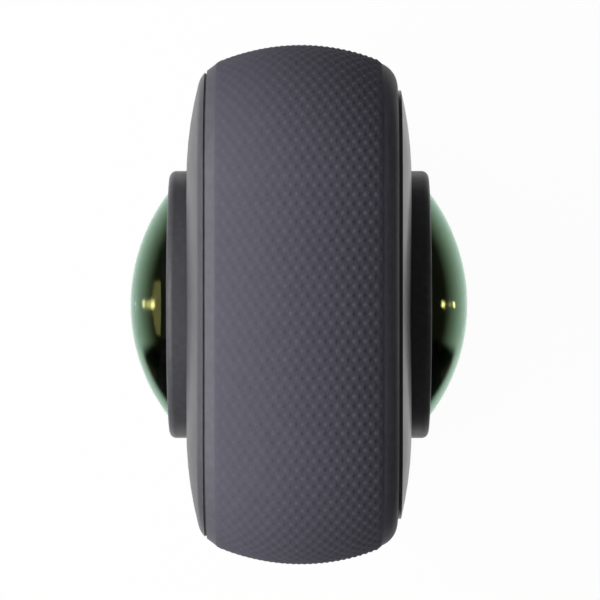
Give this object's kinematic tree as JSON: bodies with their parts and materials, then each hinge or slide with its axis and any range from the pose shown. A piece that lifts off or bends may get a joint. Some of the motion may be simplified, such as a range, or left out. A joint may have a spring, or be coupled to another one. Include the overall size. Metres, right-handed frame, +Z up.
{
  "type": "360 degree camera",
  "caption": "Slim bar-shaped camera with a domed fisheye lens on each broad face, a round screen, a diamond-grip side band, a slide-out battery and a tripod thread in its foot.",
  "frame": {"origin": "centre of the foot, at the mouth of the tripod thread", "axes": "+Z up the body towards the lens end, -Y out of the screen face, +Y out of the rear face, +X towards the port door, -X towards the battery"},
  "size_m": [0.0458, 0.0308, 0.1129],
  "materials": {
    "band_shell": "satin dark grey moulding",
    "cover_shell": "fine-grained dark grey moulding",
    "lens_ring_black": "satin black ring",
    "dome_glass": "clear coated glass",
    "lens_glass": "coated glass",
    "barrel_black": "dull black",
    "sensor": "glossy sensor window",
    "circuit_board": "green solder mask",
    "bracket_metal": "bare plate",
    "steel": "bright steel",
    "screen_black": "black cover glass",
    "display": "dark panel",
    "button_shell": "satin dark grey",
    "trim_metal": "spun ring",
    "light_pipe": "frosted light pipe",
    "black_plastic": "black moulding",
    "seal_rubber": "soft black rubber",
    "gold_contact": "gold plated",
    "cell_wrap": "foil wrapped cell"
  },
  "bodies": {
    "camera_body": {"side_frame": "band_shell", "front_cover": "cover_shell", "rear_cover": "cover_shell", "front_lens_ring": "lens_ring_black", "rear_lens_ring": "lens_ring_black", "front_lens_dome": "dome_glass", "rear_lens_dome": "dome_glass", "front_lens_barrel": "barrel_black", "rear_lens_barrel": "barrel_black", "front_second_lens": "lens_glass", "rear_second_lens": "lens_glass", "front_field_lens": "lens_glass", "rear_field_lens": "lens_glass", "front_image_sensor": "sensor", "rear_image_sensor": "sensor", "front_sensor_board": "circuit_board", "rear_sensor_board": "circuit_board", "lens_bracket": "bracket_metal", "bracket_screws": "steel", "screen_glass": "screen_black", "display_panel": "display", "display_connector": "black_plastic", "shutter_trim": "trim_metal", "shutter_switch": "steel", "front_status_light": "light_pipe", "rear_status_light": "light_pipe", "main_board": "circuit_board", "processor_shield": "steel", "board_screws": "steel", "microphones": "gold_contact", "power_switch": "steel", "side_board": "circuit_board", "usb_port": "steel", "usb_tongue": "black_plastic", "port_door_pin": "steel", "card_socket": "steel", "speaker": "black_plastic", "heat_spreader": "bracket_metal", "wireless_antenna": "gold_contact", "battery_bay": "black_plastic", "contact_block": "black_plastic", "contact_pins": "gold_contact", "tripod_insert": "steel"},
    "shutter": {"shutter_button": "button_shell"},
    "power": {"power_button": "button_shell"},
    "door": {"port_door": "band_shell", "port_door_seal": "seal_rubber"},
    "battery": {"battery_cover": "band_shell", "battery_case": "black_plastic", "battery_cell": "cell_wrap", "battery_seal": "seal_rubber", "battery_contacts": "gold_contact"},
    "upper_latch": {"upper_battery_latch": "button_shell"},
    "lower_latch": {"lower_battery_latch": "button_shell"},
    "card": {"memory_card": "black_plastic"}
  },
  "joints": [
    {"name": "shutter_press", "type": "slide", "parent": "camera_body", "child": "shutter", "axis": [0, 1, 0], "range_m": [0, 0.0005], "stiffness_N_per_m": 4000},
    {"name": "power_press", "type": "slide", "parent": "camera_body", "child": "power", "axis": [-1, 0, 0], "range_m": [0, 0.0004], "stiffness_N_per_m": 5000},
    {"name": "port_door_hinge", "type": "hinge", "parent": "camera_body", "child": "door", "pos_m": [0.02165, 0, 0.02483], "axis": [0, 1, 0], "range_deg": [0, 100]},
    {"name": "battery_slide", "type": "slide", "parent": "camera_body", "child": "battery", "axis": [-1, 0, 0], "range_m": [0, 0.03]},
    {"name": "upper_latch_slide", "type": "slide", "parent": "battery", "child": "upper_latch", "axis": [0, 0, -1], "range_m": [0, 0.0013], "stiffness_N_per_m": 1500},
    {"name": "lower_latch_slide", "type": "slide", "parent": "battery", "child": "lower_latch", "axis": [0, 0, 1], "range_m": [0, 0.0013], "stiffness_N_per_m": 1500},
    {"name": "card_push", "type": "slide", "parent": "camera_body", "child": "card", "axis": [1, 0, 0], "range_m": [0, 0.0006], "stiffness_N_per_m": 2000}
  ]
}
